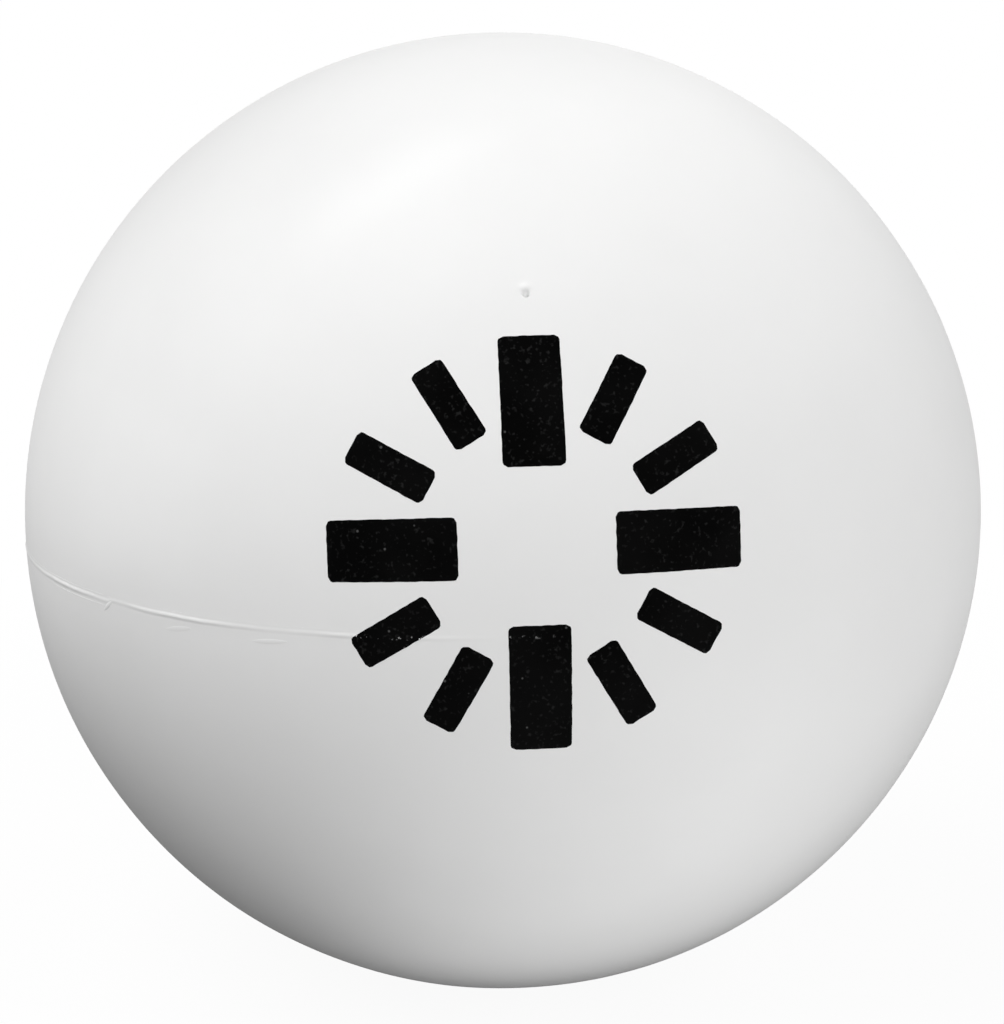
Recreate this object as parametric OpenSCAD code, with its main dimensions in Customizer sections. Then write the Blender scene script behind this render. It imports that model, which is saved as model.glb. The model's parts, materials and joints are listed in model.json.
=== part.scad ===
// Roundnet ball: a hollow inflatable rubber ball, cured together from two moulded half shells,
// with a self-sealing needle valve bonded behind the wall of the upper half.
// Millimetres. The origin is the ball's centre, +Z is the mould's axis, square to the seam,
// and the valve faces -Y.

/* [Ball] */
// Outside diameter of the inflated ball
ball_d = 97; // [80:0.5:120]
// Thickness of the rubber wall
wall_t = 1.8; // [1.4:0.1:3]

/* [Seam] */
// Thickness of the cured rubber film between the two rims
film_t = 0.2; // [0.1:0.05:0.3]
// Bevel along both edges of each rim, which takes the squeezed-out rubber
rim_bevel = 0.35; // [0.25:0.05:0.5]
// Section radius of the bead that shows outside
bead_r = 0.55; // [0.5:0.05:0.7]
// Height of the bead above the ball
bead_h = 0.12; // [0.06:0.02:0.2]
// Section radius of the ridge inside
ridge_r = 0.9; // [0.7:0.1:1.2]
// Height of the ridge above the inner wall
ridge_h = 0.5; // [0.3:0.1:0.8]

/* [Needle hole] */
// Angle of the valve above the seam, seen from the ball's centre
valve_lat = 34; // [20:1:80]
// Diameter of the needle hole, closed up as it is with no needle in it
needle_d = 0.8; // [0.6:0.1:1.2]
// Distance from the hole's edge out to the crest of the raised lip round it
lip_out = 0.22; // [0.15:0.01:0.3]
// Section radius of the lip
lip_r = 0.32; // [0.3:0.02:0.4]
// Height of the lip above the ball
lip_h = 0.12; // [0.06:0.02:0.2]

/* [Valve housing] */
// Diameter of the pocket that holds the core
pocket_d = 5.6; // [5:0.1:7]
// Depth of the pocket, from the inner wall to its floor
pocket_l = 8; // [7:0.5:12]
// Wall of the barrel round the pocket
barrel_wall = 1.7; // [1.4:0.1:2.5]
// Thickness of the barrel's end wall, under the pocket's floor
floor_t = 1.4; // [1:0.1:2]
// Diameter of the air vent in the end wall
vent_d = 2.4; // [1.8:0.1:3]
// Radius of the dome that rounds off the barrel's end
dome_r = 6; // [5:0.5:10]
// Width of the bonded flange, from the barrel to its edge
flange_w = 4.5; // [3:0.5:8]
// Thickness of the flange beside the barrel
flange_t = 1.1; // [0.8:0.1:1.6]
// Thickness of the flange at its edge
flange_edge_t = 0.35; // [0.2:0.05:0.6]
// Radius of the fillet between the barrel and the flange
fillet_r = 0.8; // [0.4:0.1:1.2]

/* [Valve core] */
// Width of the ledge in the housing that carries the core's head
ledge_w = 0.8; // [0.5:0.1:1.2]
// Thickness of the head at its edge
head_t = 1.2; // [0.8:0.1:2]
// Clearance round the core in its pocket
core_gap = 0.05; // [0.02:0.01:0.1]
// Length of rubber that closes the needle's way at the core's inner end
seal_l = 3; // [2:0.5:4]
// Number of grooves that leave sealing ribs round the core
groove_count = 3; // [1:1:4]
// Section radius of each groove
groove_r = 0.35; // [0.2:0.05:0.45]

/* [Hidden] */
$fn = 180;

ball_r = ball_d / 2;
inner_r = ball_r - wall_t;
// Room for a cut to run out past a surface
past = 1;

needle_r = needle_d / 2;
lip_crest_r = needle_r + lip_out;
pocket_r = pocket_d / 2;
barrel_r = pocket_r + barrel_wall;
flange_r = barrel_r + flange_w;
// The head's edge stands clear of the ledge's wall
ledge_r = pocket_r + ledge_w;
head_r = ledge_r - core_gap;

// Height of the inner wall over the plane through the centre, at a distance x from the valve's axis
function wall_y(x) = sqrt(inner_r * inner_r - x * x);

// Heights along the valve's axis, measured from the ball's centre
pocket_end = inner_r - pocket_l;
barrel_end = pocket_end - floor_t;
flange_under = wall_y(barrel_r) - flange_t;
flange_rim_under = wall_y(flange_r) - flange_edge_t;
ledge_y = wall_y(head_r) - head_t - core_gap;
seal_end = pocket_end + core_gap + seal_l;
// The grooves share the core's length between the pocket's floor and the ledge
groove_step = (ledge_y - pocket_end) / (groove_count + 1);

// Puts what is drawn round the +Z axis on the valve's axis
module at_valve() {
    rotate([90 - valve_lat, 0, 0]) children();
}

// Turns a profile, drawn with its axis up the page, into a solid of revolution
module turned() {
    rotate_extrude() children();
}

// A half section from one height to another, as far out as a radius
module band(radius, low, high) {
    translate([0, low]) square([radius, high - low]);
}

// Section of one half shell, with its rim half a film above the seam's plane
module half_shell_profile() {
    difference() {
        intersection() {
            circle(ball_r);
            band(ball_r + past, film_t / 2, ball_r + past);
        }
        circle(inner_r);
        // The two bevels of the rim
        translate([ball_r - rim_bevel, film_t / 2]) bevel_corner(1);
        translate([inner_r + rim_bevel, film_t / 2]) bevel_corner(-1);
    }
}

// The corner that a 45 degree bevel takes off, to the outside (1) or the inside (-1)
module bevel_corner(side) {
    run = rim_bevel + past;
    polygon([[0, 0], [side * run, run], [side * run, -past], [0, -past]]);
}

// Section of the seam's rubber: the film, the bead outside and the ridge inside, without the two rims
module seam_profile() {
    difference() {
        union() {
            translate([inner_r, -film_t / 2]) square([wall_t, film_t]);
            translate([ball_r + bead_h - bead_r, 0]) circle(bead_r);
            translate([inner_r - ridge_h + ridge_r, 0]) circle(ridge_r);
        }
        half_shell_profile();
        mirror([0, 1]) half_shell_profile();
    }
}

// Raised lip round the needle hole, with its section half sunk in the wall
module needle_lip() {
    at_valve() turned() intersection() {
        translate([lip_crest_r, ball_r + lip_h - lip_r]) circle(lip_r);
        band(lip_crest_r + lip_r + past, inner_r, ball_r + past);
    }
}

module needle_hole() {
    at_valve() translate([0, 0, inner_r - past]) cylinder(r = needle_r, h = wall_t + 2 * past);
}

module upper_shell() {
    color("whitesmoke") difference() {
        union() {
            turned() half_shell_profile();
            needle_lip();
        }
        needle_hole();
    }
}

module lower_shell() {
    color("whitesmoke") mirror([0, 0, 1]) turned() half_shell_profile();
}

module seam_bead() {
    color("gainsboro") turned() seam_profile();
}

// Section of the housing's outside: a flange that follows the inner wall, and a barrel with a domed end
module housing_outline() {
    intersection() {
        circle(inner_r);
        union() {
            polygon([
                [0, flange_under],
                [barrel_r, flange_under],
                [flange_r, flange_rim_under],
                [flange_r, inner_r],
                [0, inner_r]
            ]);
            intersection() {
                band(barrel_r, barrel_end - past, inner_r);
                union() {
                    translate([0, barrel_end + dome_r]) circle(dome_r);
                    band(barrel_r, barrel_end + dome_r, inner_r);
                }
            }
            flange_fillet();
        }
    }
}

// The fillet in the corner between the barrel and the flange
module flange_fillet() {
    difference() {
        translate([0, flange_under - fillet_r]) square([barrel_r + fillet_r, fillet_r + flange_edge_t / 2]);
        translate([barrel_r + fillet_r, flange_under - fillet_r]) circle(fillet_r);
    }
}

module valve_housing() {
    color("lightgray") at_valve() turned() difference() {
        housing_outline();
        band(pocket_r, pocket_end, inner_r + past);
        band(ledge_r, ledge_y, inner_r + past);
        band(vent_d / 2, barrel_end - past, pocket_end + past);
    }
}

module valve_core() {
    color("dimgray") at_valve() turned() difference() {
        intersection() {
            circle(inner_r - core_gap);
            union() {
                band(pocket_r - core_gap, pocket_end + core_gap, inner_r);
                band(head_r, ledge_y + core_gap, inner_r);
            }
        }
        for (i = [1 : groove_count])
            translate([pocket_r - core_gap, pocket_end + i * groove_step]) circle(groove_r);
        band(needle_r, seal_end, inner_r + past);
    }
}

upper_shell();
lower_shell();
seam_bead();
valve_housing();
valve_core();
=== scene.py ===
"""Looks of the roundnet ball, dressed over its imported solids.

Metres, in the solids' own frame: the origin is the ball's centre, +Z is the mould's axis, square to
the seam, and the needle hole and the print face -Y. A longitude is measured from -Y towards +X.
"""

import json
import math

import bmesh
import bpy
from mathutils import Matrix, Vector, noise


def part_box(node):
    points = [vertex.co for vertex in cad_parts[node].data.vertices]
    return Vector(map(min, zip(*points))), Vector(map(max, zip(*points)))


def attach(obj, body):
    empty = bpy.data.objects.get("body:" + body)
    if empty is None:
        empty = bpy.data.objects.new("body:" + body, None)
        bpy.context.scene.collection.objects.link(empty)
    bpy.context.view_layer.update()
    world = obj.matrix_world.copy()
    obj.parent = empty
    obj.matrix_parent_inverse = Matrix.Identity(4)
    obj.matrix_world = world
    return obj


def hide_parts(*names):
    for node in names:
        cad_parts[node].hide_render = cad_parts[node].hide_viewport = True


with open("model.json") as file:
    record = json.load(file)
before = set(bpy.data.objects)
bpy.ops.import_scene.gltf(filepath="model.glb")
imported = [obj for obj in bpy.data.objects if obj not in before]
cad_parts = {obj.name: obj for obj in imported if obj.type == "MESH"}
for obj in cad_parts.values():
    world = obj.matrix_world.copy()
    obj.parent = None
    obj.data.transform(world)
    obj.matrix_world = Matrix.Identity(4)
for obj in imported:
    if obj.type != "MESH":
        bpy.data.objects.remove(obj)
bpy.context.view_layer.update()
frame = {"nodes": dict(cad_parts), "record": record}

MM = 0.001

# Sizes that the frame gives
needle_port = next(m for m in frame["record"]["mounts"] if m["name"] == "needle_port")
NEEDLE_AXIS = Vector(needle_port["axis"]).normalized()
NEEDLE_R = needle_port["dims"]["r_mm"] * MM
BALL_R = -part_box("lower_shell")[0].z
WALL = 2 * (BALL_R - Vector(needle_port["pos_m"]).length)
INNER_R = BALL_R - WALL
BEAD_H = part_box("seam_bead")[1].x - BALL_R
RIDGE_HALF_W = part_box("seam_bead")[1].z

# The casing's mesh and its slight unevenness
LON_COLUMNS = 288
LAT_ROWS = 72
SHARP_ANGLE = math.radians(40)
# Height of each swell, and how many of it there are along a radius
SWELLS = [(0.06 * MM, 2.6), (0.012 * MM, 9.0)]

# The rims and the seam between them
FILM = 0.2 * MM
RIM_BEVEL = 0.35 * MM
RIM_Z = FILM / 2 + RIM_BEVEL
RIDGE_H = 0.5 * MM
RIDGE_POINTS = 9
SEAM_COLUMNS = 7 * LON_COLUMNS
BEAD_ROWS = 17
BEAD_HALF_W = 0.28 * MM
# The bead is buffed down to this share of its moulded height, and comes and goes in even waves
BEAD_LEFT = 0.36
BEAD_WAVES = 16
BEAD_WAVE_DEPTH = 0.5
BEAD_CREST_LON = math.radians(-37.5)
# How uneven its height is, in shares of it, and how many such swells there are along a radius
BEAD_UNEVEN = [(0.2, 9), (0.35, 40)]
# How far it wanders off the seam's plane, how many such turns there are along a radius, and the layer of
# the noise that they are taken from
BEAD_WANDER = [(0.05 * MM, 5), (0.04 * MM, 23)]
BEAD_WANDER_LAYER = 2.0
# Longitudes in degrees between which it fades out in front, and comes back behind
BEAD_FADES = (-14, 2)
BEAD_RETURNS = (118, 150)
# The step where its two ends overlap, and the longitudes in degrees over which it rises and falls
BEAD_STEP = 0.16 * MM
BEAD_STEP_RISES = (-49.8, -49.2)
BEAD_STEP_FALLS = (-48, -41)
# The flash laps over the edges of the rims by this much, and stands this far over the casing
LAP = 0.02 * MM
LAP_H = 0.0012 * MM
# Scraps of flash beside the seam: longitudes in degrees and heights of both ends, half width and height
FLASH_SCRAPS = [
    ((-48.9, -50.6), (0.15 * MM, -0.95 * MM), 0.2 * MM, 0.045 * MM),
    ((-40.4, -37.0), (-1.25 * MM, -0.8 * MM), 0.24 * MM, 0.015 * MM),
    ((-29.3, -25.4), (-1.14 * MM, -0.9 * MM), 0.22 * MM, 0.022 * MM),
]
SCRAP_STEPS = 24
SCRAP_SIDES = 12
SCRAP_BLUNTNESS = 0.6

# The needle hole: a lip that swells over its upper edge, and a patch of rings in the casing's grid
LIP_H = 0.18 * MM
LIP_CREST = 0.5 * MM
LIP_SPREAD = 0.38 * MM
LIP_ANGLE = math.radians(95)
LIP_NARROWNESS = 7
PATCH_HALF_COLUMNS = 6
PATCH_HALF_ROWS = 4
PATCH_LOOSE_RINGS = 3
PATCH_ROUND_RINGS = 13
PATCH_RING_GROWTH = 1.17
# Under the lip the rubber closes up to a share of the hole's radius, most of the way to its lower edge
PINCH = 0.12
PINCH_DEPTH = 0.85 * MM
PINCH_DROP = 0.85
PINCH_ANGLE = math.radians(-65)
DIMPLE_RINGS = 14
BORE_RINGS = 6

# The print: marks in a ring, like those of a plain dial, round a point under the needle hole
PRINT_LAT = math.radians(8.8)
PRINT_MARKS = 12
PRINT_OUTER_R = 17.5 * MM
LONG_MARK_EVERY = 3
LONG_MARK = (11.0 * MM, 5.2 * MM)
SHORT_MARK = (7.5 * MM, 3.0 * MM)
MARK_CORNER_R = 0.45 * MM
INK_T = 0.03 * MM
INK_EDGE_T = 0.004 * MM
INK_SUNK = 0.008 * MM
INK_CELL = 0.2 * MM
INK_WOBBLE = 0.04 * MM
INK_WOBBLE_SPAN = 0.6 * MM
# Where in the noise the wobble upwards is taken from, apart from the wobble to the right
INK_WOBBLE_APART = Vector((17.3, 5.9, 31.7))
INK_SHARP_ANGLE = math.radians(60)

# The photograph's view
IMAGE_W = 1004
IMAGE_H = 1024
SENSOR = 36.0
FOCAL_PX = 2097.0
VIEW_AZIMUTH = math.radians(-3.3)
VIEW_ELEVATION = math.radians(12.4)
VIEW_ROLL = math.radians(1.4)
VIEW_DISTANCE = 4.5 * BALL_R
BALL_CENTRE_PX = (502.6, 510.5)
CLIP_START = 0.01


def smooth_step(low, high, value):
    """0 below low, 1 above high, and a smooth turn between them."""
    t = min(1.0, max(0.0, (value - low) / (high - low)))
    return t * t * (3 - 2 * t)


def direction(lon, lat):
    """The unit vector to a longitude and a latitude above the seam."""
    return Vector((math.sin(lon) * math.cos(lat), -math.cos(lon) * math.cos(lat), math.sin(lat)))


def swell(toward):
    """Height of the casing's slow unevenness in a direction."""
    return sum(height * noise.noise(toward * count) for height, count in SWELLS)


class Build:
    """Points and faces of one mesh in the making."""

    def __init__(self):
        self.points = []
        self.faces = []

    def point(self, at):
        self.points.append(at)
        return len(self.points) - 1

    def ring(self, points):
        return [self.point(p) for p in points]

    def join(self, ring, other):
        """Quads between two closed rings with as many points."""
        for i in range(len(ring)):
            k = (i + 1) % len(ring)
            self.faces.append((ring[i], ring[k], other[k], other[i]))

    def fan(self, ring, tip):
        for i in range(len(ring)):
            self.faces.append((ring[i], ring[(i + 1) % len(ring)], tip))

    def piece(self, name, material, sharp_angle=SHARP_ANGLE):
        """The finished object, smooth but for edges that turn by more than the angle."""
        mesh = bpy.data.meshes.new(name)
        mesh.from_pydata(self.points, [], self.faces)
        work = bmesh.new()
        work.from_mesh(mesh)
        bmesh.ops.recalc_face_normals(work, faces=work.faces)
        work.to_mesh(mesh)
        work.free()
        mesh.polygons.foreach_set("use_smooth", [True] * len(mesh.polygons))
        mesh.set_sharp_from_angle(angle=sharp_angle)
        mesh.materials.append(material)
        made = bpy.data.objects.new(name, mesh)
        bpy.context.scene.collection.objects.link(made)
        return made


# Casing


def beside_needle(angle):
    """The unit vector square to the needle's axis, at an angle from the right towards the top."""
    across = Vector((1, 0, 0))
    return across * math.cos(angle) + NEEDLE_AXIS.cross(across) * math.sin(angle)


def round_the_needle(toward):
    """Distance and angle of a direction round the needle's axis, the distance along the ball's face."""
    right = toward.dot(beside_needle(0))
    up = toward.dot(beside_needle(math.pi / 2))
    return NEEDLE_AXIS.angle(toward) * BALL_R, math.atan2(up, right)


def from_the_needle(distance, angle):
    """The direction at a distance and an angle round the needle's axis."""
    turn = distance / BALL_R
    return NEEDLE_AXIS * math.cos(turn) + beside_needle(angle) * math.sin(turn)


def outer_face(toward):
    """The point of the casing's outer face in a direction, with the lip at the needle hole."""
    distance, angle = round_the_needle(toward)
    height = LIP_H * ((1 + math.cos(angle - LIP_ANGLE)) / 2) ** LIP_NARROWNESS
    lip = height * math.exp(-(((distance - LIP_CREST) / LIP_SPREAD) ** 2))
    return toward * (BALL_R + swell(toward) + lip)


def inner_face(toward):
    return toward * INNER_R


def column_lon(i, columns=LON_COLUMNS):
    return 2 * math.pi * i / columns - math.pi


def row_lat(j, rim_lat):
    return rim_lat + (math.pi / 2 - rim_lat) * j / LAT_ROWS


def needle_patch(rim_lat):
    """The first and last column and row of the cells that the needle's rings take the place of."""
    needle_lat = math.asin(NEEDLE_AXIS.z)
    column = LON_COLUMNS // 2
    row = round((needle_lat - rim_lat) / (math.pi / 2 - rim_lat) * LAT_ROWS)
    return (
        column - PATCH_HALF_COLUMNS,
        column + PATCH_HALF_COLUMNS,
        row - PATCH_HALF_ROWS,
        row + PATCH_HALF_ROWS,
    )


def patch_loop(rows, patch):
    """The points round the patch, in order."""
    left, right, low, high = patch
    loop = [rows[low][i] for i in range(left, right)]
    loop += [rows[j][right] for j in range(low, high)]
    loop += [rows[high][i] for i in range(right, left, -1)]
    loop += [rows[j][left] for j in range(high, low, -1)]
    return loop


def needle_rings(build, loop, face):
    """Rings from the patch's edge in to the needle hole. Gives the ring at the hole."""
    around = [round_the_needle(build.points[i].normalized()) for i in loop]
    radii = [NEEDLE_R * PATCH_RING_GROWTH**k for k in range(PATCH_ROUND_RINGS)]
    widest = radii[-1]
    ring = loop
    for k in range(1, PATCH_LOOSE_RINGS + 1):
        share = k / (PATCH_LOOSE_RINGS + 1)
        inward = build.ring(
            face(from_the_needle(edge + (widest - edge) * share, angle)) for edge, angle in around
        )
        build.join(ring, inward)
        ring = inward
    for radius in reversed(radii):
        inward = build.ring(face(from_the_needle(radius, angle)) for _, angle in around)
        build.join(ring, inward)
        ring = inward
    return ring


def sheet(build, side, face, radius, with_needle):
    """One face of a half shell, from rim to pole. Gives its rings at the rim and at the needle hole."""
    rim_lat = math.asin(RIM_Z / radius)
    patch = needle_patch(rim_lat) if with_needle else None
    rows = []
    for j in range(LAT_ROWS):
        lat = side * row_lat(j, rim_lat)
        row = []
        for i in range(LON_COLUMNS):
            inside = patch and patch[0] < i < patch[1] and patch[2] < j < patch[3]
            row.append(None if inside else build.point(face(direction(column_lon(i), lat))))
        rows.append(row)
    for j in range(LAT_ROWS - 1):
        for i in range(LON_COLUMNS):
            if patch and patch[0] <= i < patch[1] and patch[2] <= j < patch[3]:
                continue
            k = (i + 1) % LON_COLUMNS
            build.faces.append((rows[j][i], rows[j][k], rows[j + 1][k], rows[j + 1][i]))
    build.fan(rows[-1], build.point(face(Vector((0, 0, side)))))
    hole = needle_rings(build, patch_loop(rows, patch), face) if with_needle else None
    return rows[0], hole


def rim_ring(build, side, radius):
    """The ring at one edge of the rim's flat land."""
    lons = [column_lon(i) for i in range(LON_COLUMNS)]
    lift = Vector((0, 0, side * FILM / 2))
    return build.ring(direction(lon, 0) * radius + lift for lon in lons)


def needle_bore(build, outer_hole, inner_hole):
    """The hole's wall: a soft dimple that closes up near its lower edge, and the way in from there."""
    drop = beside_needle(PINCH_ANGLE) * ((1 - PINCH) * NEEDLE_R * PINCH_DROP)
    ring = outer_hole
    for k in range(1, DIMPLE_RINGS + 1):
        share = k / DIMPLE_RINGS
        depth = PINCH_DEPTH * share**2
        points = []
        for i in outer_hole:
            height = build.points[i].dot(NEEDLE_AXIS)
            outward = build.points[i] - NEEDLE_AXIS * height
            sunk = height + (BALL_R - height) * share - depth
            points.append(NEEDLE_AXIS * sunk + outward * (1 - (1 - PINCH) * share) + drop * share)
        deeper = build.ring(points)
        build.join(ring, deeper)
        ring = deeper
    pinched = ring
    for k in range(1, BORE_RINGS):
        share = k / BORE_RINGS
        deeper = build.ring(
            build.points[a].lerp(build.points[b], share) for a, b in zip(pinched, inner_hole)
        )
        build.join(ring, deeper)
        ring = deeper
    build.join(ring, inner_hole)


def half_casing(name, side, with_needle, material):
    """A half shell with both its faces, its bevelled rim and, on one half, the needle hole."""
    build = Build()
    outer_rim, outer_hole = sheet(build, side, outer_face, BALL_R, with_needle)
    inner_rim, inner_hole = sheet(build, side, inner_face, INNER_R, with_needle)
    land_out = rim_ring(build, side, BALL_R - RIM_BEVEL)
    land_in = rim_ring(build, side, INNER_R + RIM_BEVEL)
    build.join(outer_rim, land_out)
    build.join(land_out, land_in)
    build.join(land_in, inner_rim)
    if with_needle:
        needle_bore(build, outer_hole, inner_hole)
    return build.piece(name, material)


# Seam


def bead_height(lon):
    """Height of the bead along the seam, which is buffed away from the front round to the right."""
    degrees = math.degrees(lon)
    wave = 1 + BEAD_WAVE_DEPTH * math.cos(BEAD_WAVES * (lon - BEAD_CREST_LON))
    around = Vector((math.sin(lon), math.cos(lon), 0))
    uneven = 1 + sum(share * noise.noise(around * count) for share, count in BEAD_UNEVEN)
    front = 1 - smooth_step(*BEAD_FADES, degrees)
    behind = smooth_step(*BEAD_RETURNS, degrees)
    return BEAD_LEFT * BEAD_H * wave * uneven * max(front, behind)


def bead_shift(lon):
    """How far the bead wanders off the seam's plane, with the step where its two ends overlap."""
    degrees = math.degrees(lon)
    around = Vector((math.sin(lon), math.cos(lon), BEAD_WANDER_LAYER))
    wander = sum(width * noise.noise(around * count) for width, count in BEAD_WANDER)
    step = smooth_step(*BEAD_STEP_RISES, degrees) - smooth_step(*BEAD_STEP_FALLS, degrees)
    return wander + BEAD_STEP * step


def bead_lift(lon, z):
    """Height of the seam's flash over the casing, at a height above the seam's plane."""
    across = (z - bead_shift(lon)) / BEAD_HALF_W
    return LAP_H + bead_height(lon) * max(0.0, 1 - across * across) ** 2


def seam_section(lon):
    """The closed section of the seam's rubber at a longitude, as distances out and heights."""
    edge = RIM_Z + LAP
    section = []
    for k in range(BEAD_ROWS):
        z = -edge + 2 * edge * k / (BEAD_ROWS - 1)
        rise = swell(direction(lon, math.asin(z / BALL_R)))
        section.append((math.sqrt(BALL_R**2 - z * z) + rise + bead_lift(lon, z), z))
    upper = [
        (BALL_R - LAP, edge),
        (BALL_R - RIM_BEVEL, FILM / 2),
        (INNER_R + RIM_BEVEL, FILM / 2),
        (INNER_R, RIM_Z),
    ]
    ridge = []
    for k in range(RIDGE_POINTS):
        angle = math.pi * k / (RIDGE_POINTS - 1)
        ridge.append((INNER_R - RIDGE_H * math.sin(angle), RIDGE_HALF_W * math.cos(angle)))
    lower = [(out, -z) for out, z in reversed(upper)]
    return section + upper + ridge + lower


def flash_scrap(build, path, half_w, height):
    """A sliver of flash left on the casing: a tapered ridge along a path, half sunk in the face."""
    trail = [direction(math.radians(lon), math.asin(z / BALL_R)) for lon, z in path]
    turns = [2 * math.pi * k / SCRAP_SIDES for k in range(SCRAP_SIDES)]
    rings = []
    for n, toward in enumerate(trail):
        ahead = trail[min(n + 1, len(trail) - 1)] - trail[max(n - 1, 0)]
        sideways = toward.cross(ahead).normalized()
        taper = math.sin(math.pi * (n + 0.5) / len(trail)) ** SCRAP_BLUNTNESS
        centre = toward * (BALL_R + swell(toward))
        ring = []
        for turn in turns:
            section = sideways * half_w * math.cos(turn) + toward * height * math.sin(turn)
            ring.append(centre + section * taper)
        rings.append(build.ring(ring))
    for ring, other in zip(rings, rings[1:]):
        build.join(ring, other)
    build.faces.append(tuple(rings[0]))
    build.faces.append(tuple(reversed(rings[-1])))


def seam_flash(material):
    """The rubber between the rims, with its bead outside, its ridge inside, and the scraps of flash."""
    build = Build()
    rings = []
    for i in range(SEAM_COLUMNS):
        lon = column_lon(i, SEAM_COLUMNS)
        outward = direction(lon, 0)
        rings.append(build.ring(outward * out + Vector((0, 0, z)) for out, z in seam_section(lon)))
    for i in range(SEAM_COLUMNS):
        build.join(rings[i], rings[(i + 1) % SEAM_COLUMNS])
    for lons, heights, half_w, height in FLASH_SCRAPS:
        path = []
        for k in range(SCRAP_STEPS + 1):
            share = k / SCRAP_STEPS
            path.append((
                lons[0] + (lons[1] - lons[0]) * share,
                heights[0] + (heights[1] - heights[0]) * share,
            ))
        flash_scrap(build, path, half_w, height)
    return build.piece("seam_flash", material)


# Print


def skin(toward):
    """Distance from the centre to the face that the ink lies on, the seam's bead included."""
    z = BALL_R * toward.z
    rise = bead_lift(math.atan2(toward.x, -toward.y), z) if abs(z) < RIM_Z else 0.0
    return BALL_R + swell(toward) + rise


def print_direction(right, up):
    """The direction to a place in the print, measured along the ball's face from the print's middle."""
    middle = direction(0, PRINT_LAT)
    across = Vector((1, 0, 0))
    upward = middle.cross(across)
    distance = math.hypot(right, up)
    if distance == 0:
        return middle
    turn = distance / BALL_R
    sideways = (across * right + upward * up) / distance
    return middle * math.cos(turn) + sideways * math.sin(turn)


def print_mark(build, angle, length, width):
    """One mark of the ring: a film with rounded corners that follows the face under it."""
    steps = round(length / INK_CELL)
    lanes = round(width / INK_CELL)
    top, under = [], []
    for s in range(steps + 1):
        along = length * s / steps
        from_end = min(along, length - along)
        inset = 0.0
        if from_end < MARK_CORNER_R:
            inset = MARK_CORNER_R - math.sqrt(MARK_CORNER_R**2 - (MARK_CORNER_R - from_end) ** 2)
        half = width / 2 - inset
        out = PRINT_OUTER_R - length + along
        top_row, under_row = [], []
        for t in range(lanes + 1):
            share = 2 * t / lanes - 1
            edge = abs(share) == 1 or s in (0, steps)
            side = share * half
            right = out * math.cos(angle) - side * math.sin(angle)
            up = out * math.sin(angle) + side * math.cos(angle)
            if edge:
                spot = Vector((right, up, angle)) / INK_WOBBLE_SPAN
                right += noise.noise(spot) * INK_WOBBLE
                up += noise.noise(spot + INK_WOBBLE_APART) * INK_WOBBLE
            toward = print_direction(right, up)
            face = skin(toward)
            top_row.append(build.point(toward * (face + (INK_EDGE_T if edge else INK_T))))
            under_row.append(build.point(toward * (face - INK_SUNK)))
        top.append(top_row)
        under.append(under_row)
    for rows in (top, under):
        for low, high in zip(rows, rows[1:]):
            for t in range(lanes):
                build.faces.append((low[t], low[t + 1], high[t + 1], high[t]))
    build.join(mark_edge(top), mark_edge(under))


def mark_edge(rows):
    """The points round a mark's grid, in order."""
    edge = list(rows[0])
    edge += [row[-1] for row in rows[1:]]
    edge += rows[-1][-2::-1]
    edge += [row[0] for row in rows[-2:0:-1]]
    return edge


def print_ink(material):
    """The ring of marks, with a long one at each quarter."""
    build = Build()
    for n in range(PRINT_MARKS):
        length, width = SHORT_MARK if n % LONG_MARK_EVERY else LONG_MARK
        print_mark(build, 2 * math.pi * n / PRINT_MARKS, length, width)
    return build.piece("print_ink", material, INK_SHARP_ANGLE)


# Materials

# A grain's noise lies mostly between these values. Other ranges pick out its high places, and a bump is
# given by its strength and its depth
NOISE_RANGE = (0.3, 0.7)

# Rubber of the casing and the seam: its two whites, the sizes of its grains and their bumps
WHITE_LIGHT = (0.87, 0.87, 0.867)
WHITE_DARK = (0.85, 0.85, 0.847)
MOTTLE = 14 * MM
SHEEN_PATCH = 5 * MM
SHEEN_ROUGHNESS = (0.48, 0.6)
SOFT_GRAIN = 2.4 * MM
SOFT_BUMP = (0.05, 0.4 * MM)
FINE_GRAIN = 0.3 * MM
FINE_BUMP = (0.06, 0.05 * MM)
# Its gloss comes from a thin coat alone. With a high index, that mirrors less at the ball's edges
GLOSS_WEIGHT = 0.16
GLOSS_IOR = 2.0
GLOSS_ROUGHNESS = 0.28

# Ink: its greys, one of them a painted sheen, and the sizes of its painted sheen patches, flecks and
# pinholes
INK_BLACK = (0.0006, 0.0006, 0.0006)
INK_PAINTED_SHEEN = (0.002, 0.002, 0.002)
INK_FLECK = (0.014, 0.014, 0.014)
INK_PINHOLE = (0.07, 0.07, 0.07)
INK_RUBBED = (0.5, 0.5, 0.5)
PAINTED_SHEEN_PATCH = 9 * MM
PAINTED_SHEEN_RANGE = (0.42, 0.62)
FLECK = 0.35 * MM
FLECK_RANGE = (0.6, 0.78)
INK_SHEEN_PATCH = 1.5 * MM
INK_ROUGHNESS = (0.45, 0.6)
INK_GRAIN = 0.25 * MM
INK_BUMP = (0.08, 0.05 * MM)
INK_SPECULAR = 0.02
# A pinhole may sit in each cell of the spacing, and fades out between two shares of it
PINHOLE_SPACING = 1.1 * MM
PINHOLE_RIM = (0.07, 0.13)
# The share of cells that stay whole, outside the patches with more pinholes and in them
PINHOLE_WHOLE = (0.95, 0.5)
PINHOLE_PATCH = 7 * MM
PINHOLE_PATCH_RANGE = (0.4, 0.65)
# The rubbing fades out between these distances from the bead's crest, and between these X along it
RUBBED_OFF_CREST = (0.04 * MM, 0.2 * MM)
RUBBED_UP_TO_X = (-6 * MM, 2 * MM)
RUBBED_SPOT = 0.45 * MM
RUBBED_RANGE = (0.6, 0.68)

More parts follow.
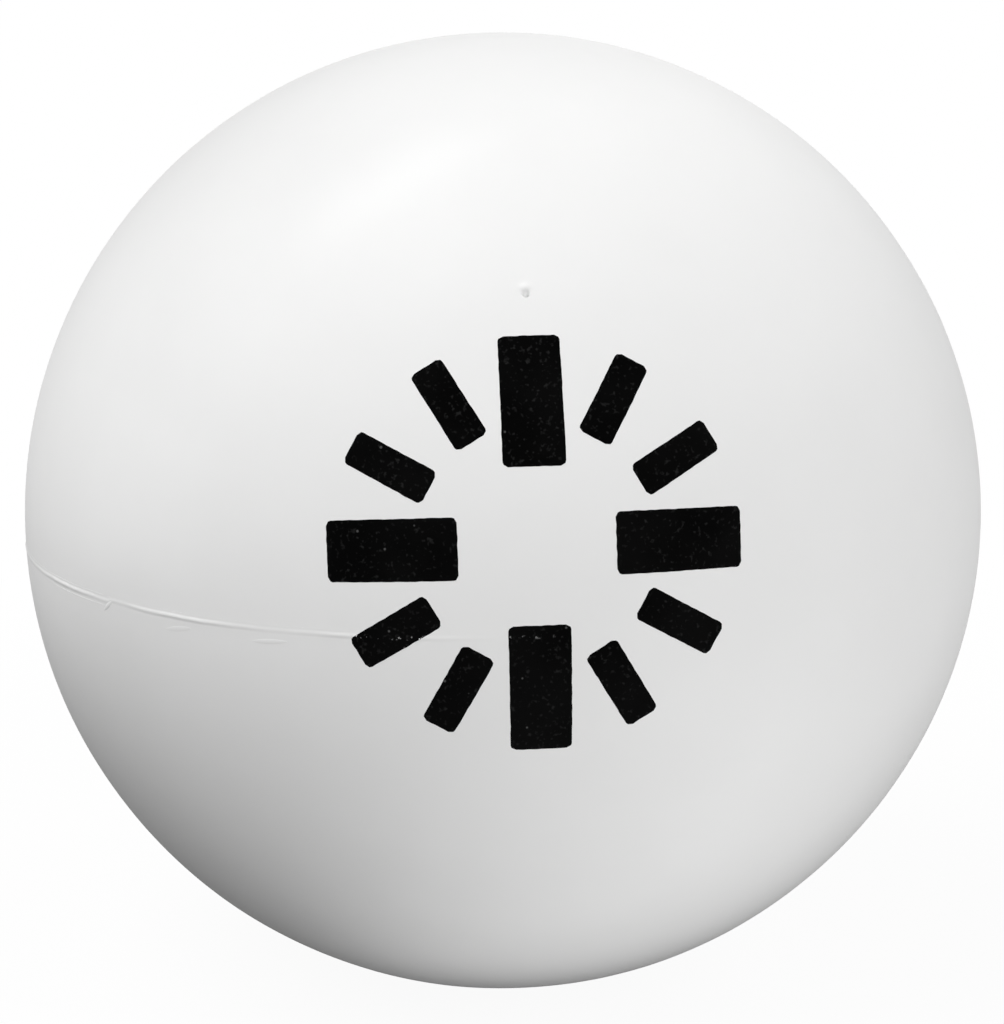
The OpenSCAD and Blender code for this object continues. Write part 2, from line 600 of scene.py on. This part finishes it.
# Rubber of the valve's pieces: colour with powder on it, colour without, and roughness without
HOUSING_LOOK = ((0.62, 0.61, 0.58), (0.5, 0.49, 0.46), 0.6)
CORE_LOOK = ((0.1, 0.1, 0.1), (0.03, 0.03, 0.03), 0.55)
POWDER_PATCH = 1.5 * MM
POWDER_RANGE = (0.4, 0.65)
POWDER_ROUGHER = 0.15
POWDER_GRAIN = 0.2 * MM
POWDER_BUMP = (0.15, 0.05 * MM)
VALVE_SPECULAR = 0.3

# The Mix node's sockets for two colours and for their blend
MIX_FIRST = 6
MIX_SECOND = 7
MIX_BLEND = 2


def new_material(name):
    material = bpy.data.materials.new(name)
    material.use_nodes = True
    return material, material.node_tree, material.node_tree.nodes["Principled BSDF"]


def add_node(tree, kind, inputs=None, **settings):
    """A node with some settings. An input is a value, or another node's output to link to it."""
    node = tree.nodes.new("ShaderNode" + kind)
    for name, value in settings.items():
        setattr(node, name, value)
    for name, value in (inputs or {}).items():
        if isinstance(value, bpy.types.NodeSocket):
            tree.links.new(value, node.inputs[name])
        else:
            node.inputs[name].default_value = value
    return node


def grain(tree, place, size, detail):
    """Noise from 0 to 1 whose grains are about a size across."""
    inputs = {"Vector": place, "Scale": 1 / size, "Detail": detail}
    return add_node(tree, "TexNoise", inputs).outputs["Fac"]


def spread(tree, value, low, high, to_low, to_high):
    """A value taken from one range to another, and held at its ends."""
    inputs = {"Value": value, "From Min": low, "From Max": high, "To Min": to_low, "To Max": to_high}
    return add_node(tree, "MapRange", inputs).outputs["Result"]


def blend_colours(tree, factor, first, second):
    mix = add_node(tree, "Mix", data_type="RGBA")
    tree.links.new(factor, mix.inputs["Factor"])
    for socket, value in ((mix.inputs[MIX_FIRST], first), (mix.inputs[MIX_SECOND], second)):
        if isinstance(value, bpy.types.NodeSocket):
            tree.links.new(value, socket)
        else:
            socket.default_value = (*value, 1.0)
    return mix.outputs[MIX_BLEND]


def bump(tree, height, strength, distance, under=None):
    inputs = {"Height": height, "Strength": strength, "Distance": distance}
    if under:
        inputs["Normal"] = under
    return add_node(tree, "Bump", inputs).outputs["Normal"]


def white_rubber(name):
    """Satin white moulded rubber: faint mottling, a soft and a fine grain, and a thin gloss."""
    material, tree, shader = new_material(name)
    place = add_node(tree, "TexCoord").outputs["Object"]
    mottle = spread(tree, grain(tree, place, MOTTLE, detail=4.0), *NOISE_RANGE, 0.0, 1.0)
    colour = blend_colours(tree, mottle, WHITE_LIGHT, WHITE_DARK)
    tree.links.new(colour, shader.inputs["Base Color"])
    patches = grain(tree, place, SHEEN_PATCH, detail=3.0)
    sheen = spread(tree, patches, *NOISE_RANGE, *SHEEN_ROUGHNESS)
    tree.links.new(sheen, shader.inputs["Roughness"])
    soft = bump(tree, grain(tree, place, SOFT_GRAIN, detail=1.0), *SOFT_BUMP)
    fine = bump(tree, grain(tree, place, FINE_GRAIN, detail=2.0), *FINE_BUMP, under=soft)
    tree.links.new(fine, shader.inputs["Normal"])
    tree.links.new(soft, shader.inputs["Coat Normal"])
    shader.inputs["Specular IOR Level"].default_value = 0.0
    shader.inputs["Coat Weight"].default_value = GLOSS_WEIGHT
    shader.inputs["Coat IOR"].default_value = GLOSS_IOR
    shader.inputs["Coat Roughness"].default_value = GLOSS_ROUGHNESS
    return material


def black_ink():
    """Screen-printed black ink with a sheen painted in lighter patches, flecked, with pinholes, and
    rubbed off the bead in spots.
    """
    material, tree, shader = new_material("print_ink")
    place = add_node(tree, "TexCoord").outputs["Object"]
    # Painted sheen: lighter patches in the ink's colour stand in for its uneven shine
    painted_sheen = spread(tree, grain(tree, place, PAINTED_SHEEN_PATCH, detail=3.0), *PAINTED_SHEEN_RANGE, 0.0, 1.0)
    tone = blend_colours(tree, painted_sheen, INK_BLACK, INK_PAINTED_SHEEN)
    fleck = spread(tree, grain(tree, place, FLECK, detail=1.0), *FLECK_RANGE, 0.0, 1.0)
    tone = blend_colours(tree, fleck, tone, INK_FLECK)
    cells = add_node(tree, "TexVoronoi", {"Vector": place, "Scale": 1 / PINHOLE_SPACING})
    hole = spread(tree, cells.outputs["Distance"], *PINHOLE_RIM, 1.0, 0.0)
    chance = add_node(tree, "SeparateColor", {"Color": cells.outputs["Color"]}).outputs["Red"]
    patches = grain(tree, place, PINHOLE_PATCH, detail=2.0)
    whole = spread(tree, patches, *PINHOLE_PATCH_RANGE, *PINHOLE_WHOLE)
    kept = add_node(tree, "Math", {0: chance, 1: whole}, operation="GREATER_THAN").outputs[0]
    speck = add_node(tree, "Math", {0: hole, 1: kept}, operation="MULTIPLY").outputs[0]
    tone = blend_colours(tree, speck, tone, INK_PINHOLE)
    tone = blend_colours(tree, rubbed(tree, place), tone, INK_RUBBED)
    tree.links.new(tone, shader.inputs["Base Color"])
    sheen = grain(tree, place, INK_SHEEN_PATCH, detail=3.0)
    tree.links.new(spread(tree, sheen, *NOISE_RANGE, *INK_ROUGHNESS), shader.inputs["Roughness"])
    fine = bump(tree, grain(tree, place, INK_GRAIN, detail=2.0), *INK_BUMP)
    tree.links.new(fine, shader.inputs["Normal"])
    shader.inputs["Specular IOR Level"].default_value = INK_SPECULAR
    return material


def rubbed(tree, place):
    """1 in the few spots along the crest of the seam's bead where the ink is rubbed through."""
    axes = add_node(tree, "SeparateXYZ", {"Vector": place}).outputs
    off_crest = add_node(tree, "Math", {0: axes["Z"]}, operation="ABSOLUTE").outputs[0]
    crest = spread(tree, off_crest, *RUBBED_OFF_CREST, 1.0, 0.0)
    bead = spread(tree, axes["X"], *RUBBED_UP_TO_X, 1.0, 0.0)
    worn = spread(tree, grain(tree, place, RUBBED_SPOT, detail=2.0), *RUBBED_RANGE, 0.0, 1.0)
    on_bead = add_node(tree, "Math", {0: crest, 1: bead}, operation="MULTIPLY").outputs[0]
    return add_node(tree, "Math", {0: on_bead, 1: worn}, operation="MULTIPLY").outputs[0]


def plain_rubber(name, light, dark, roughness):
    """Matte rubber of the valve's pieces, dusted with the powder that keeps it from sticking."""
    material, tree, shader = new_material(name)
    place = add_node(tree, "TexCoord").outputs["Object"]
    dust = spread(tree, grain(tree, place, POWDER_PATCH, detail=5.0), *POWDER_RANGE, 0.0, 1.0)
    tree.links.new(blend_colours(tree, dust, dark, light), shader.inputs["Base Color"])
    rougher = spread(tree, dust, 0, 1, roughness, roughness + POWDER_ROUGHER)
    tree.links.new(rougher, shader.inputs["Roughness"])
    fine = bump(tree, grain(tree, place, POWDER_GRAIN, detail=3.0), *POWDER_BUMP)
    tree.links.new(fine, shader.inputs["Normal"])
    shader.inputs["Specular IOR Level"].default_value = VALVE_SPECULAR
    return material


# Pieces

casing_white = white_rubber("casing_rubber")
seam_white = white_rubber("seam_rubber")
pieces = [
    (half_casing("casing_upper", 1, True, casing_white), "casing_rubber", "upper_shell"),
    (half_casing("casing_lower", -1, False, casing_white), "casing_rubber", "lower_shell"),
    (seam_flash(seam_white), "seam_rubber", "seam_bead"),
    (print_ink(black_ink()), "print_ink", None),
]
for piece, slot_name, node_name in pieces:
    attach(piece, "root")
    if node_name:
        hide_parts(node_name)

valve_looks = {
    "valve_housing": plain_rubber("housing_rubber", *HOUSING_LOOK),
    "valve_core": plain_rubber("core_rubber", *CORE_LOOK),
}
for node_name, material in valve_looks.items():
    frame["nodes"][node_name].data.materials.clear()
    frame["nodes"][node_name].data.materials.append(material)

# Camera

back = direction(VIEW_AZIMUTH, VIEW_ELEVATION)
level_right = Vector((math.cos(VIEW_AZIMUTH), math.sin(VIEW_AZIMUTH), 0))
level_up = back.cross(level_right)
view_right = level_right * math.cos(VIEW_ROLL) - level_up * math.sin(VIEW_ROLL)
view_up = level_right * math.sin(VIEW_ROLL) + level_up * math.cos(VIEW_ROLL)


def from_view(right, up, towards):
    """A vector given along the photograph's right, its up and its line to the camera."""
    return view_right * right + view_up * up + back * towards


camera_data = bpy.data.cameras.new("camera")
camera_data.sensor_width = SENSOR
camera_data.lens = FOCAL_PX * SENSOR / IMAGE_H
camera_data.clip_start = CLIP_START
camera = bpy.data.objects.new("camera", camera_data)
px_to_m = VIEW_DISTANCE / FOCAL_PX
place = from_view(
    (IMAGE_W / 2 - BALL_CENTRE_PX[0]) * px_to_m,
    (BALL_CENTRE_PX[1] - IMAGE_H / 2) * px_to_m,
    VIEW_DISTANCE,
)
turn = Matrix((view_right, view_up, back)).transposed()
camera.matrix_world = Matrix.Translation(place) @ turn.to_4x4()
bpy.context.scene.collection.objects.link(camera)
bpy.context.scene.camera = camera

# Light

# Soft lamps round the ball: direction in the photograph's view, the way the first side runs, size, and
# level on a face turned to the lamp, where 1 shows a colour as it is written
LAMP_DISTANCE = 0.7
LAMPS = {
    "key_soft": ((-0.54, 0.76, 0.36), (1, 0, 0), (0.7, 0.7), 0.67),
    "key_strip": ((-0.333, 0.93, 0.158), (0.83, 0.35, -0.44), (0.58, 0.09), 0.145),
    "fill_front": ((0.25, 0.08, 0.96), (1, 0, 0), (0.5, 0.5), 0.61),
    "side_right": ((0.828, 0.524, -0.2), (0, 0, 1), (0.75, 0.75), 0.56),
    "fill_back": ((0.05, 0.33, -0.94), (1, 0, 0), (0.3, 0.3), 0.4),
}
# The one lamp that shows in the gloss: mirror images of the others would wash out the ball's edges
MIRRORED_LAMP = "key_strip"
# Bounce cards round the ball: middle, the way the card faces, size, and brightness against white
CARD_Z = -BALL_R + 1 * MM
CARDS = {
    "card_front": ((0.058, -0.08, CARD_Z), (0, 0, 1), (0.07, 0.07), 1.01),
    "card_near": ((0.011, -0.065, CARD_Z), (0, 0, 1), (0.06, 0.06), 0.52),
    "card_back": ((0.0, 0.07, CARD_Z), (0, 0, 1), (0.08, 0.06), 0.9),
    "card_left": ((-0.09, -0.03, 0.015), (1, 0, 0), (0.05, 0.04), 1.12),
}


def area_lamp(name, at, facing, along, watts, shape, size):
    """A lamp at a place that shines towards where it faces, with its first side along a direction."""
    data = bpy.data.lights.new(name, "AREA")
    data.shape = shape
    data.size = size[0]
    data.size_y = size[1]
    data.energy = watts
    made = bpy.data.objects.new(name, data)
    first = (along - facing * along.dot(facing)).normalized()
    turned = Matrix((first, first.cross(facing), -facing)).transposed()
    made.matrix_world = Matrix.Translation(at) @ turned.to_4x4()
    bpy.context.scene.collection.objects.link(made)
    return made


for lamp_name, (way, along, size, level) in LAMPS.items():
    toward_lamp = from_view(*way).normalized()
    watts = level * math.pi**2 * LAMP_DISTANCE**2
    at = toward_lamp * LAMP_DISTANCE
    lamp = area_lamp(lamp_name, at, -toward_lamp, from_view(*along), watts, "ELLIPSE", size)
    lamp.visible_glossy = lamp_name == MIRRORED_LAMP

for card_name, (middle, facing, size, level) in CARDS.items():
    watts = level * math.pi * size[0] * size[1]
    along = Vector((0, 1, 0)) if facing[0] else Vector((1, 0, 0))
    area_lamp(card_name, Vector(middle), Vector(facing), along, watts, "RECTANGLE", size)

# Stage

FLOOR_R = 3.0
FLOOR_SIDES = 96
# Next to the ball the floor shows this share of its lit white, which holds the shadow. The share falls
# to none at the reach
FLOOR_SHADE = 0.06
FLOOR_SHADE_REACH = 4 * BALL_R
FLOOR_WHITE = (0.9, 0.9, 0.9, 1)
FLOOR_GREY = (0.1, 0.1, 0.1, 1)
WHITE = (1, 1, 1, 1)
AMBIENT = 0.02


def seen_rays(tree):
    """1 for rays that show the surround itself: camera, glossy and transmitted ones."""
    path = add_node(tree, "LightPath").outputs
    two = {0: path["Is Camera Ray"], 1: path["Is Glossy Ray"]}
    either = add_node(tree, "Math", two, operation="MAXIMUM").outputs[0]
    three = {0: either, 1: path["Is Transmission Ray"]}
    return add_node(tree, "Math", three, operation="MAXIMUM").outputs[0]


def floor_material():
    """White to the eye, with a faint shadow near the ball, and dark grey to the light it bounces."""
    material, tree, shader = new_material("floor")
    tree.nodes.remove(shader)
    white = add_node(tree, "Emission", {"Strength": 1.0}).outputs[0]
    lit = add_node(tree, "BsdfDiffuse", {"Color": FLOOR_WHITE}).outputs[0]
    grey = add_node(tree, "BsdfDiffuse", {"Color": FLOOR_GREY}).outputs[0]
    place = add_node(tree, "TexCoord").outputs["Object"]
    reach = add_node(tree, "VectorMath", {0: place}, operation="LENGTH").outputs["Value"]
    shade = spread(tree, reach, BALL_R, FLOOR_SHADE_REACH, FLOOR_SHADE, 0.0)
    seen = add_node(tree, "MixShader", {0: shade, 1: white, 2: lit}).outputs[0]
    mix = add_node(tree, "MixShader", {0: seen_rays(tree), 1: grey, 2: seen})
    tree.links.new(mix.outputs[0], tree.nodes["Material Output"].inputs["Surface"])
    return material


def floor():
    """A wide flat disc just under the ball."""
    bpy.ops.mesh.primitive_circle_add(vertices=FLOOR_SIDES, radius=FLOOR_R, fill_type="NGON")
    made = bpy.context.object
    made.name = "floor"
    made.location.z = -BALL_R - LAP_H
    made.data.materials.append(floor_material())


def surround():
    """A world that shows white and throws only a little light on the ball."""
    world = bpy.data.worlds.new("surround")
    world.use_nodes = True
    tree = world.node_tree
    tree.nodes.clear()
    seen = add_node(tree, "Background", {"Color": WHITE, "Strength": 1.0}).outputs[0]
    light = add_node(tree, "Background", {"Color": WHITE, "Strength": AMBIENT}).outputs[0]
    mix = add_node(tree, "MixShader", {0: seen_rays(tree), 1: light, 2: seen})
    output = add_node(tree, "OutputWorld")
    tree.links.new(mix.outputs[0], output.inputs["Surface"])
    bpy.context.scene.world = world


floor()
surround()
bpy.context.scene.view_settings.view_transform = "Standard"
